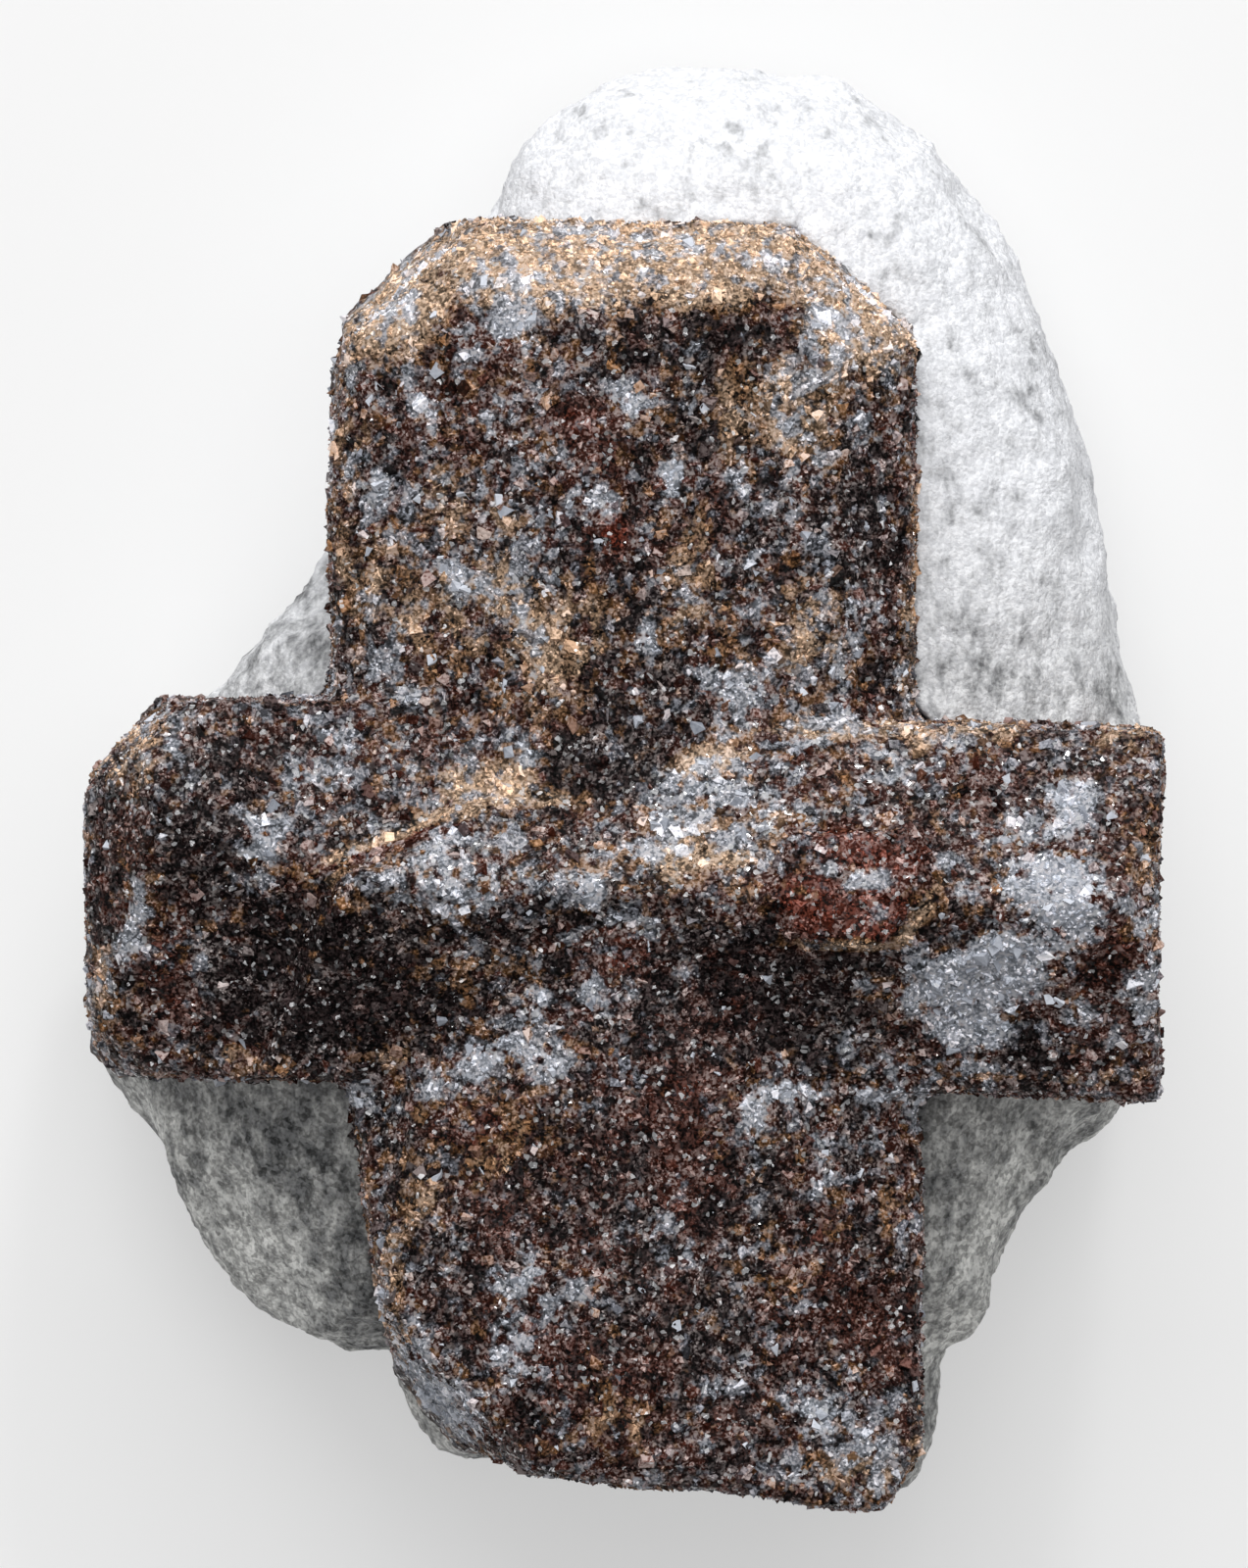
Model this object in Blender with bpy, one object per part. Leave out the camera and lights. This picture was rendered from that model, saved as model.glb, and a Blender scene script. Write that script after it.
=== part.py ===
"""A staurolite cross: two flat-faced crystals grown through each other at right angles, half bedded in a
lump of pale mica schist. The piece lies on its back, on the schist, with the cross facing up."""

import math

import bmesh
import bpy
from mathutils import Matrix, Vector, noise

# Every size below is in millimetres. X runs along the bar of the cross, Y along its upright and Z up.
MM = 0.001
BAR_REACH = 9.2
UPRIGHT_LEFT, UPRIGHT_RIGHT = -5.02, 5.07
UPRIGHT_TOP, UPRIGHT_FOOT = 9.83, -12.25
CRYSTAL_BACK = 3.7
BAR_RIDGE_HEIGHT = 11.8
HEADROOM = 13.0

# The schist keeps this far from the crystal in which it is bedded, so that the two solids never touch.
BED_GAP = 0.3

# Each crystal face is criss-crossed at this spacing, and its points are then shifted to give a worn face.
FACET_SPACING = 0.86
WELD = 0.05

# The outline of the schist seen from above, anticlockwise from the crown, as X and Y.
SCHIST_OUTLINE = (
    (2.35, 12.65), (0.95, 12.5), (-0.3, 12.1), (-1.35, 11.35), (-2.4, 10.0), (-3.95, 8.1), (-4.75, 5.8),
    (-5.2, 4.3), (-5.75, 3.2), (-7.2, 1.9), (-8.5, 0.3), (-8.9, -2.4), (-8.9, -4.8), (-8.15, -5.9),
    (-7.65, -7.1), (-6.7, -8.4), (-5.3, -9.6), (-4.15, -9.95), (-3.95, -10.5), (-3.5, -11.2), (-2.6, -11.6),
    (1.0, -11.7), (4.2, -11.9), (5.0, -11.8), (5.5, -10.8), (5.65, -9.9), (6.15, -9.1), (6.5, -8.1),
    (7.0, -7.1), (7.75, -6.35), (8.75, -5.3), (9.1, -2.4), (9.1, 1.2), (8.75, 2.9), (8.4, 4.5),
    (7.95, 6.0), (6.85, 9.3), (6.0, 10.7), (5.1, 11.6), (3.8, 12.3),
)
# How the outline shrinks with height: each entry is a height and the share of the outline's reach there.
SCHIST_LEVELS = (
    (0.0, 0.72), (0.3, 0.79), (0.8, 0.86), (1.4, 0.915), (2.1, 0.955), (2.8, 0.985), (3.5, 1.0),
    (4.2, 1.0), (4.9, 0.985), (5.5, 0.955), (6.0, 0.915), (6.5, 0.86), (6.9, 0.8), (7.3, 0.72),
    (7.65, 0.63), (8.0, 0.52), (8.3, 0.39), (8.5, 0.22),
)
OUTLINE_STEPS = 3


def clear_scene():
    for obj in list(bpy.data.objects):
        bpy.data.objects.remove(obj, do_unlink=True)


def new_collection(name):
    made = bpy.data.collections.new(name)
    bpy.context.scene.collection.children.link(made)
    return made


def stone_material(name, colour, roughness):
    made = bpy.data.materials.new(name)
    made.use_nodes = True
    shader = made.node_tree.nodes["Principled BSDF"]
    shader.inputs["Base Color"].default_value = (*colour, 1.0)
    shader.inputs["Roughness"].default_value = roughness
    shader.inputs["Metallic"].default_value = 0.0
    return made


def leaning(toward_x, toward_y, degrees):
    """The direction that leans from straight up towards (toward_x, toward_y) by this angle."""
    flat = Vector((toward_x, toward_y, 0.0)).normalized()
    angle = math.radians(degrees)
    return flat * math.sin(angle) + Vector((0.0, 0.0, 1.0)) * math.cos(angle)


def facing(start, end, lift=0.0):
    """The outward direction of an upright face whose top edge runs from start to end, seen from above.
    The crystal lies to the left of that run. Lift leans the face upwards."""
    return Vector((end[1] - start[1], start[0] - end[0], lift)).normalized()


def under_side(place, lean):
    """A cut of the crystal's back: it starts at the deepest line and leans like the front, mirrored."""
    return place, Vector((lean.x, lean.y, -lean.z))


def cut_block(name, low, high, cuts, grow, home):
    """A block from low to high that keeps only what lies behind every cut, a point and its direction out."""
    bm = bmesh.new()
    bmesh.ops.create_cube(bm, size=1.0)
    spread = Vector((grow, grow, grow))
    low, high = Vector(low) - spread, Vector(high) + spread
    size = high - low
    bm.transform(Matrix.Translation((low + high) / 2) @ Matrix.Diagonal((*size, 1.0)))
    for point, out in cuts:
        everything = bm.verts[:] + bm.edges[:] + bm.faces[:]
        shifted = Vector(point) + out * grow
        bmesh.ops.bisect_plane(bm, geom=everything, plane_co=shifted, plane_no=out, clear_outer=True)
        rim = [edge for edge in bm.edges if edge.is_boundary]
        if rim:
            bmesh.ops.contextual_create(bm, geom=rim)
    bmesh.ops.recalc_face_normals(bm, faces=bm.faces[:])
    mesh = bpy.data.meshes.new(name)
    bm.to_mesh(mesh)
    bm.free()
    obj = bpy.data.objects.new(name, mesh)
    home.objects.link(obj)
    return obj


def upper_arm(grow, home):
    """The upper half of the upright: a low ridge, steeper side strips and a worn end with clipped corners."""
    ridge = (-0.35, 0.0, 11.0)
    left_corner = ((-2.43, 9.83), (-4.75, 7.75))
    left_nick = ((-4.75, 7.75), (UPRIGHT_LEFT, 6.4))
    right_corner = ((5.1, 7.62), (2.73, 9.7))
    cuts = (
        (ridge, leaning(-1, 0, 17)),
        (ridge, leaning(1, 0, 16)),
        ((3.75, 0.0, 9.85), leaning(1, 0.02, 38)),
        ((-4.2, 0.0, 9.85), leaning(-1, 0, 38)),
        ((0.0, 8.0, 10.95), leaning(0.05, 1, 42)),
        ((-3.8, 7.9, 9.95), leaning(-0.7, 1, 39)),
        ((3.6, 7.5, 9.9), leaning(0.75, 0.8, 40)),
        ((0.0, 9.3, 9.75), leaning(0, 1, 66)),
        ((*left_corner[1], 8.6), facing(*left_corner, lift=0.4)),
        ((*left_nick[1], 8.0), facing(*left_nick, lift=0.1)),
        ((*right_corner[0], 8.6), facing(*right_corner, lift=0.4)),
        under_side((-0.35, 0.0, CRYSTAL_BACK - 0.1), leaning(-1, 0, 17)),
        under_side((-0.35, 0.0, CRYSTAL_BACK - 0.1), leaning(1, 0, 17)),
    )
    low = (UPRIGHT_LEFT, -4.0, CRYSTAL_BACK)
    return cut_block("upper_arm", low, (UPRIGHT_RIGHT - 0.08, UPRIGHT_TOP, HEADROOM), cuts, grow, home)


def lower_arm(grow, home):
    """The lower half of the upright: it narrows towards a slanting foot and falls away at both sides."""
    ridge = (-0.2, 0.0, 11.4)
    left_side = ((-4.68, -5.0), (-4.05, -9.3))
    foot = ((-2.6, -11.42), (4.48, -12.25))
    heel = ((4.48, -12.25), (UPRIGHT_RIGHT + 0.05, -11.1))
    clipped = ((-4.2, -9.1), (-2.1, -11.5))
    cuts = (
        (ridge, leaning(-1, 0, 17)),
        (ridge, leaning(1, 0, 16)),
        ((-3.25, -5.5, 10.45), leaning(-1, 0.12, 42)),
        ((3.0, -6.0, 10.42), leaning(1, 0.3, 33)),
        ((0.0, -11.2, 11.2), leaning(0, -1, 38)),
        ((*left_side[0], 5.0), facing(*left_side)),
        ((*foot[0], 5.0), facing(*foot)),
        ((*heel[0], 5.0), facing(*heel)),
        ((*clipped[0], 8.0), facing(*clipped, lift=0.4)),
    )
    low = (-4.7, UPRIGHT_FOOT, CRYSTAL_BACK + 0.2)
    return cut_block("lower_arm", low, (UPRIGHT_RIGHT, -1.0, HEADROOM), cuts, grow, home)


def bar(grow, home):
    """The middle and right of the bar: two facets that meet in the ridge, and a bluntly broken end."""
    ridge = (0.0, -1.67, BAR_RIDGE_HEIGHT)
    end = ((9.1, -5.2), (BAR_REACH, 1.2))
    cuts = (
        (ridge, leaning(0.03, 1, 27)),
        (ridge, leaning(-0.03, -1, 30)),
        ((0.0, 1.28, 8.0), Vector((0.02, 1.0, 0.0)).normalized()),
        ((0.0, -5.0, 8.0), Vector((-0.02, -1.0, 0.0)).normalized()),
        ((*end[0], 8.0), facing(*end)),
        ((8.95, 0.0, 10.9), leaning(1, 0.1, 48)),
        under_side((0.0, -1.67, CRYSTAL_BACK + 0.2), leaning(0, 1, 28)),
        under_side((0.0, -1.67, CRYSTAL_BACK + 0.2), leaning(0, -1, 28)),
    )
    return cut_block("bar", (-0.55, -5.4, CRYSTAL_BACK), (BAR_REACH, 1.6, HEADROOM), cuts, grow, home)


def bar_ledge(grow, home):
    """The left of the bar's crest. It breaks off upwards in a ledge, and at its left in a low step."""
    ridge = (0.0, -1.64, BAR_RIDGE_HEIGHT - 0.05)
    step = ((-6.8, -3.2), (-7.05, -4.6))
    cuts = (
        (ridge, leaning(0.03, 1, 27)),
        (ridge, leaning(-0.03, -1, 30)),
        ((-4.0, -1.67, BAR_RIDGE_HEIGHT), leaning(-1, 0, 9)),
        ((-1.5, -0.45, 11.2), leaning(0.05, 1, 52)),
        ((-2.7, -0.42, 11.1), leaning(-0.38, 0.92, 70)),
        ((0.0, -4.96, 8.0), Vector((-0.02, -1.0, 0.0)).normalized()),
        ((*step[0], 8.0), facing(*step, lift=0.7)),
    )
    low = (-7.6, -5.4, CRYSTAL_BACK + 0.9)
    return cut_block("bar_ledge", low, (1.2, 1.0, HEADROOM), cuts, grow, home)


def bar_left_end(grow, home):
    """The left end of the bar: its ridge runs higher up the cross, and its tip is bevelled all round."""
    ridge = (-6.0, -0.9, 10.9)
    shoulder = ((-7.7, 1.65), (-9.22, 0.1))
    under = ((-9.22, -3.95), (-8.4, -4.85))
    cuts = (
        (ridge, leaning(0.62, 1, 12)),
        (ridge, leaning(-0.25, -1, 23)),
        ((-7.95, 0.0, 11.0), leaning(-1, -0.08, 55)),
        ((-8.2, 1.2, 10.3), leaning(-0.5, 1, 42)),
        ((*shoulder[0], 8.0), facing(*shoulder, lift=0.15)),
        ((*under[0], 8.0), facing(*under, lift=0.1)),
    )
    low = (-BAR_REACH, -4.85, CRYSTAL_BACK + 0.3)
    return cut_block("bar_left_end", low, (-0.5, 1.62, HEADROOM), cuts, grow, home)


def skin_plate(grow, home):
    """A thin plate of crystal skin that still clings to the bar, with a crisp broken lower edge."""
    torn_edge = ((2.75, -2.55), (4.3, -2.6))
    torn_side = ((4.3, -2.6), (5.15, -1.4))
    cuts = (
        ((0.0, -1.7, 11.95), leaning(0.1, 1, 9)),
        ((*torn_edge[0], 11.0), facing(*torn_edge)),
        ((*torn_side[0], 11.0), facing(*torn_side)),
    )
    return cut_block("skin_plate", (2.7, -2.8, 9.0), (5.1, -0.7, HEADROOM), cuts, grow, home)


def evaluated_mesh(obj, name):
    bpy.context.view_layer.update()
    graph = bpy.context.evaluated_depsgraph_get()
    made = bpy.data.meshes.new_from_object(obj.evaluated_get(graph))
    made.name = name
    return made


def boolean(obj, other, operation):
    modifier = obj.modifiers.new(operation.lower() + "_" + other.name, "BOOLEAN")
    modifier.operation = operation
    modifier.solver = "EXACT"
    modifier.object = other


def crystal_body(name, grow, home):
    """The crystal blocks joined into one flat-faced solid, with each face shifted out by grow."""
    makers = (upper_arm, lower_arm, bar, bar_ledge, bar_left_end, skin_plate)
    blocks = [make(grow, home) for make in makers]
    for block in blocks[1:]:
        boolean(blocks[0], block, "UNION")
    joined = bpy.data.objects.new(name, evaluated_mesh(blocks[0], name))
    home.objects.link(joined)
    for block in blocks:
        bpy.data.objects.remove(block, do_unlink=True)
    return joined


def criss_cross(bm, spacing):
    """Cuts every face along evenly spaced planes of each axis, so that flat faces gain inner points."""
    for axis in range(3):
        out = Vector((0.0, 0.0, 0.0))
        out[axis] = 1.0
        places = [vert.co[axis] for vert in bm.verts]
        first = math.ceil(min(places) / spacing)
        for step in range(first, math.floor(max(places) / spacing) + 1):
            everything = bm.verts[:] + bm.edges[:] + bm.faces[:]
            plane = out * (step + 0.37) * spacing
            bmesh.ops.bisect_plane(bm, geom=everything, plane_co=plane, plane_no=out, dist=WELD)


def worn_shift(place, facing_out):
    """How far a point of a crystal face stands out: slow swells, growth steps and small knocks."""
    swell = noise.fractal(place * 0.35, 1.0, 2.0, 2) * 0.1
    knock = noise.noise(place * 1.4 + Vector((7.0, 3.0, 1.0))) * 0.09
    pit = max(0.0, noise.noise(place * 0.8 + Vector((2.0, 9.0, 4.0))) - 0.38) * -0.8
    return facing_out * (swell + knock + pit)


def wear_crystal(crystal):
    """Gives the flat-faced crystal its uneven, knocked faces and keeps every edge of its form."""
    bm = bmesh.new()
    bm.from_mesh(crystal.data)
    bmesh.ops.remove_doubles(bm, verts=bm.verts[:], dist=WELD / 5)
    criss_cross(bm, FACET_SPACING)
    bmesh.ops.triangulate(bm, faces=bm.faces[:])
    bmesh.ops.dissolve_degenerate(bm, edges=bm.edges[:], dist=WELD)
    bmesh.ops.triangulate(bm, faces=bm.faces[:])
    bm.normal_update()
    shifts = [worn_shift(vert.co, vert.normal) for vert in bm.verts]
    for vert, shift in zip(bm.verts, shifts):
        vert.co += shift
    bm.to_mesh(crystal.data)
    bm.free()


def smooth_outline(points, steps):
    """The closed curve through these points, with this many spans between each pair."""
    made = []
    count = len(points)
    for index in range(count):
        before, start, end, after = (Vector(points[(index + shift) % count]) for shift in (-1, 0, 1, 2))
        for step in range(steps):
            t = step / steps
            bend = (2 * before - 5 * start + 4 * end - after) * t * t
            twist = (3 * start - before - 3 * end + after) * t * t * t
            made.append((2 * start + (end - before) * t + bend + twist) / 2)
    return made


def lump_shift(place):
    """How far the schist stands out or in: broad lumps, ribs along the cross's upright and small knocks."""
    lumps = noise.noise(place * 0.28 + Vector((4.0, 1.0, 8.0))) * 0.55
    ribbed = Vector((place.x * 1.1, place.y * 0.3, place.z * 1.1))
    ribs = noise.noise(ribbed + Vector((1.0, 5.0, 2.0))) * 0.32
    knocks = noise.noise(place * 1.3 + Vector((6.0, 2.0, 3.0))) * 0.14
    return lumps + ribs + knocks


def schist_lump(home):
    """The lump as a stack of outlines, with a flat sole where the rock has parted along its layers."""
    outline = smooth_outline(SCHIST_OUTLINE, OUTLINE_STEPS)
    bm = bmesh.new()
    rings = []
    for height, share in SCHIST_LEVELS:
        ring = []
        hold = min(1.0, height / 1.1)
        for point in outline:
            place = Vector((point.x * share, point.y * share, height))
            out = Vector((point.x, point.y, 0.0)).normalized()
            ring.append(bm.verts.new(place + out * lump_shift(place) * hold * share))
        rings.append(ring)
    count = len(outline)
    for lower, upper in zip(rings, rings[1:]):
        for index in range(count):
            follow = (index + 1) % count
            bm.faces.new((lower[index], lower[follow], upper[follow], upper[index]))
    bm.faces.new(reversed(rings[0]))
    bm.faces.new(rings[-1])
    bmesh.ops.recalc_face_normals(bm, faces=bm.faces[:])
    mesh = bpy.data.meshes.new("schist_matrix")
    bm.to_mesh(mesh)
    bm.free()
    obj = bpy.data.objects.new("schist_lump", mesh)
    home.objects.link(obj)
    return obj


def parted_crack(grow, home):
    """The space of the short crack low on the right, a wedge that opens upwards and towards its middle."""
    start, bend, tip = (5.16, -8.52), (5.78, -9.05), (5.62, -9.5)
    mouth = 6.2
    cuts = (
        ((*start, mouth), facing(bend, start, lift=-0.1)),
        ((*bend, mouth), facing(tip, bend, lift=-0.1)),
        ((*tip, mouth), facing(start, tip, lift=-0.1)),
    )
    return cut_block("parted_crack", (4.9, -9.8, 4.6), (6.1, -8.3, HEADROOM), cuts, grow, home)


def bedded_schist(cutters, home):
    """The schist lump with the bed of the crystal and the short crack cut out of it."""
    lump = schist_lump(cutters)
    bed = crystal_body("crystal_bed", BED_GAP, cutters)
    crack = parted_crack(0.0, cutters)
    boolean(lump, bed, "DIFFERENCE")
    boolean(lump, crack, "DIFFERENCE")
    schist = bpy.data.objects.new("schist_matrix", evaluated_mesh(lump, "schist_matrix"))
    home.objects.link(schist)
    for used in (lump, bed, crack):
        bpy.data.objects.remove(used, do_unlink=True)
    bm = bmesh.new()
    bm.from_mesh(schist.data)
    bmesh.ops.triangulate(bm, faces=bm.faces[:])
    bmesh.ops.dissolve_degenerate(bm, edges=bm.edges[:], dist=WELD / 5)
    bm.to_mesh(schist.data)
    bm.free()
    return schist


def to_metres_on_origin(objects):
    """Scales the finished meshes to metres and moves them so that the origin is at the bottom centre."""
    corners = [vert.co for obj in objects for vert in obj.data.vertices]
    low = Vector([min(corner[axis] for corner in corners) for axis in range(3)])
    high = Vector([max(corner[axis] for corner in corners) for axis in range(3)])
    foot = Vector(((low.x + high.x) / 2, (low.y + high.y) / 2, low.z))
    for obj in objects:
        obj.data.transform(Matrix.Scale(MM, 4) @ Matrix.Translation(-foot))


def main():
    clear_scene()
    parts = new_collection("staurolite_cross_in_schist")
    cutters = new_collection("cutters")
    crystal = crystal_body("staurolite_twin", 0.0, parts)
    wear_crystal(crystal)
    crystal.data.materials.clear()
    crystal.data.materials.append(stone_material("staurolite", (0.11, 0.075, 0.065), 0.55))
    schist = bedded_schist(cutters, parts)
    schist.data.materials.clear()
    schist.data.materials.append(stone_material("mica_schist", (0.55, 0.55, 0.56), 0.75))
    to_metres_on_origin((crystal, schist))


main()
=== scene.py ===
import math

import bmesh
import bpy
import numpy as np
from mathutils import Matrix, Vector
from mathutils.bvhtree import BVHTree


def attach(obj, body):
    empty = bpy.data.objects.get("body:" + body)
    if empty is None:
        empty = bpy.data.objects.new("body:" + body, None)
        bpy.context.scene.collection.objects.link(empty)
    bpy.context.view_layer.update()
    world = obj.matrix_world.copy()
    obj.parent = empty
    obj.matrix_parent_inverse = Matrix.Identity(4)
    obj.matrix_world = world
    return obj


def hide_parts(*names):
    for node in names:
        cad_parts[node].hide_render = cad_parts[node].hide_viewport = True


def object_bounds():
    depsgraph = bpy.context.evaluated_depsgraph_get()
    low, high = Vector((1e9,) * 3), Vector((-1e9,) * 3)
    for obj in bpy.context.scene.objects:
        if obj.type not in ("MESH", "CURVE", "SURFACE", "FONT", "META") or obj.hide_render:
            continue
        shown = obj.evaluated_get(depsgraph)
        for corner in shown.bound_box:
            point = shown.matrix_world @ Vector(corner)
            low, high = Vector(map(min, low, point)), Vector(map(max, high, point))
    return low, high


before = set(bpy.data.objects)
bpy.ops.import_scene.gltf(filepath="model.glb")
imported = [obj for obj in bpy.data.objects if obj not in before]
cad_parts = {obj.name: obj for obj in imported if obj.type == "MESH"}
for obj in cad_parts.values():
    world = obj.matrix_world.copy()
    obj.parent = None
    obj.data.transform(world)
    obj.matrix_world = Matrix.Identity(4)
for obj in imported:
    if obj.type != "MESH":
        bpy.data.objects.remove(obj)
CAD_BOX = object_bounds()


# The schist: a rounded, loose lump of pale mica schist in which the cross is bedded. It is a felt of
# white mica and quartz with dark streaks of biotite that run up the stone, and it broke off its layer
# with a flat sole. The rock has grown against the crystal, so nothing parts the two.
MM = 0.001
MERGE_DISTANCE = 0.002 * MM
SCHIST_VOXEL = 0.122 * MM
SCHIST_SMOOTHING = 6
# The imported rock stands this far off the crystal. Within reach, it is drawn in by up to the pull.
BED_GAP = 0.3 * MM
BED_PULL = 0.40 * MM
BED_REACH = 1.25 * MM
TOUCHING = 1e-7
# Each colour is its dark and its light end.
PALE_MICA = ((0.64, 0.65, 0.68), (0.86, 0.87, 0.90))
DULL_MICA = ((0.34, 0.34, 0.33), (0.90, 0.90, 0.87))
BIOTITE = ((0.008, 0.009, 0.010), (0.17, 0.175, 0.18))
BIOTITE_COVER = 0.95
BIOTITE_SHOWS = (0.56, 1.12)
STREAK_LEAN = math.radians(12)
STREAK_STRETCH = (1.0, 0.45, 0.8)
STREAK_SIZE = 0.36 * MM
SPECK_SIZE = 0.13 * MM
PATCH_SIZE = 0.34 * MM
BLOTCH_SIZE = 1.6 * MM
MICA_SUGAR = 0.06 * MM
MICA_GRAIN = 0.10 * MM
# The schist is pale at its crown and duller and darker from here down to its foot.
CROWN_END = 6.0 * MM
FOOT_END = -7.0 * MM
SCHIST_GLOSS = 0.3
SCHIST_BUMP = 0.05 * MM
# The painted shade on the schist comes in from this height up.
SCHIST_PAINTED_SHADE_LOWEST = -2.0 * MM
# How strongly a fine bump shows in every finish.
BUMP_STRENGTH = 0.6


def put(tree, kind, inputs=None, **settings):
    """Adds a node, sets its options, and fills or links its inputs by name or number."""
    made = tree.nodes.new(kind)
    for name, value in settings.items():
        setattr(made, name, value)
    for name, value in (inputs or {}).items():
        if isinstance(value, bpy.types.NodeSocket):
            tree.links.new(value, made.inputs[name])
        else:
            made.inputs[name].default_value = value
    return made


def maths(tree, operation, first, second=0.0, third=None):
    inputs = {0: first, 1: second}
    if third is not None:
        inputs[2] = third
    return put(tree, "ShaderNodeMath", inputs, operation=operation).outputs[0]


def weighed(tree, *terms):
    """The sum of value times weight over (value, weight) pairs."""
    total = 0.0
    for value, weight in terms:
        total = maths(tree, "MULTIPLY_ADD", value, weight, total)
    return total


def soft_step(tree, value, low, high):
    """Rises softly from 0 where the value is low to 1 where it is high."""
    inputs = {"Value": value, "From Min": low, "From Max": high, "To Min": 0.0, "To Max": 1.0}
    return put(tree, "ShaderNodeMapRange", inputs, interpolation_type="SMOOTHSTEP").outputs[0]


def spread(tree, value):
    """Spreads a noise's usual range over 0 to 1."""
    inputs = {"Value": value, "From Min": 0.3, "From Max": 0.7}
    return put(tree, "ShaderNodeMapRange", inputs).outputs[0]


def blended(tree, share, first, second):
    """The first colour where share is 0 and the second where it is 1."""
    made = put(tree, "ShaderNodeMix", data_type="RGBA", clamp_factor=True)
    for index, value in ((0, share), (6, first), (7, second)):
        if isinstance(value, bpy.types.NodeSocket):
            tree.links.new(value, made.inputs[index])
        else:
            made.inputs[index].default_value = (*value, 1.0) if index else value
    return made.outputs[2]


def scaled(tree, vector, factor):
    return put(tree, "ShaderNodeVectorMath", {0: vector, "Scale": factor}, operation="SCALE").outputs[0]


def stretched(tree, vector, by):
    """Each part of the vector times the same part of the other one."""
    return put(tree, "ShaderNodeVectorMath", {0: vector, 1: by}, operation="MULTIPLY").outputs[0]


def mark_in_finish(tree, name, output="Fac"):
    """A value that the mesh carries under this name, read in a material."""
    return put(tree, "ShaderNodeAttribute", attribute_name=name).outputs[output]


def shader_group(name, inputs, outputs):
    """An empty node group with (name, socket kind, default) inputs and (name, socket kind) outputs."""
    tree = bpy.data.node_groups.new(name, "ShaderNodeTree")
    for title, kind, default in inputs:
        socket = tree.interface.new_socket(title, in_out="INPUT", socket_type=kind)
        if default is not None:
            socket.default_value = default
    for title, kind in outputs:
        tree.interface.new_socket(title, in_out="OUTPUT", socket_type=kind)
    return tree, tree.nodes.new("NodeGroupInput"), tree.nodes.new("NodeGroupOutput")


def grain_group():
    """Angular interlocking grains: a random pick and tone for each grain, and its rounded height."""
    tree, given, result = shader_group(
        "grain",
        (("Place", "NodeSocketVector", None), ("Size", "NodeSocketFloat", 0.16 * MM)),
        (("Pick", "NodeSocketFloat"), ("Tone", "NodeSocketFloat"), ("Body", "NodeSocketFloat")),
    )
    scale = maths(tree, "DIVIDE", 1.0, given.outputs["Size"])
    sites = put(tree, "ShaderNodeTexVoronoi", {"Vector": given.outputs["Place"], "Scale": scale})
    parts = put(tree, "ShaderNodeSeparateColor", {0: sites.outputs["Color"]})
    body = maths(tree, "SUBTRACT", 1.0, sites.outputs["Distance"])
    tree.links.new(parts.outputs[0], result.inputs["Pick"])
    tree.links.new(parts.outputs[1], result.inputs["Tone"])
    tree.links.new(body, result.inputs["Body"])
    return tree


def mottle_group():
    """Soft mottling with blotches of about this size, spread over 0 to 1."""
    tree, given, result = shader_group(
        "mottle",
        (
            ("Place", "NodeSocketVector", None),
            ("Size", "NodeSocketFloat", 1.0 * MM),
            ("Seed", "NodeSocketFloat", 0.0),
        ),
        (("Value", "NodeSocketFloat"),),
    )
    scale = maths(tree, "DIVIDE", 1.0, given.outputs["Size"])
    cloud = put(
        tree,
        "ShaderNodeTexNoise",
        {"Vector": given.outputs["Place"], "W": given.outputs["Seed"], "Scale": scale, "Detail": 3.0},
        noise_dimensions="4D",
    )
    tree.links.new(spread(tree, cloud.outputs[0]), result.inputs["Value"])
    return tree


GRAIN = grain_group()
MOTTLE = mottle_group()


def grain(tree, place, size):
    made = put(tree, "ShaderNodeGroup", node_tree=GRAIN)
    tree.links.new(place, made.inputs["Place"])
    made.inputs["Size"].default_value = size
    return made.outputs["Pick"], made.outputs["Tone"], made.outputs["Body"]


def mottle(tree, place, size, seed):
    made = put(tree, "ShaderNodeGroup", node_tree=MOTTLE)
    tree.links.new(place, made.inputs["Place"])
    made.inputs["Size"].default_value = size
    made.inputs["Seed"].default_value = seed
    return made.outputs["Value"]


def new_finish(name):
    made = bpy.data.materials.new(name)
    made.use_nodes = True
    return made, made.node_tree, made.node_tree.nodes["Principled BSDF"]


def merged_copy(node, name):
    """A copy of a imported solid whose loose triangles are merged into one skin."""
    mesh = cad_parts[node].data.copy()
    mesh.materials.clear()
    bm = bmesh.new()
    bm.from_mesh(mesh)
    bmesh.ops.remove_doubles(bm, verts=bm.verts[:], dist=MERGE_DISTANCE)
    bm.to_mesh(mesh)
    bm.free()
    made = bpy.data.objects.new(name, mesh)
    bpy.context.scene.collection.objects.link(made)
    return made


def settle(obj):
    """Turns the object's live modifiers into plain mesh."""
    bpy.context.view_layer.update()
    graph = bpy.context.evaluated_depsgraph_get()
    made = bpy.data.meshes.new_from_object(obj.evaluated_get(graph))
    made.name = obj.name
    obj.modifiers.clear()
    obj.data = made


def resurface(obj, voxel, rounds):
    """Covers the solid with an even fine mesh and rounds its edges off a little."""
    skin = obj.modifiers.new("fine_skin", "REMESH")
    skin.mode = "VOXEL"
    skin.voxel_size = voxel
    skin.adaptivity = 0.0
    worn = obj.modifiers.new("worn_edges", "SMOOTH")
    worn.factor = 0.5
    worn.iterations = rounds
    settle(obj)


def places(mesh):
    flat = np.empty(len(mesh.vertices) * 3, np.float32)
    mesh.vertices.foreach_get("co", flat)
    return flat.reshape(-1, 3)


def set_places(mesh, points):
    """Moves the points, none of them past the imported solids' own box."""
    low, high = (np.array(corner, np.float32) for corner in CAD_BOX)
    mesh.vertices.foreach_set("co", np.clip(points, low, high).ravel())
    mesh.update()


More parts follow.
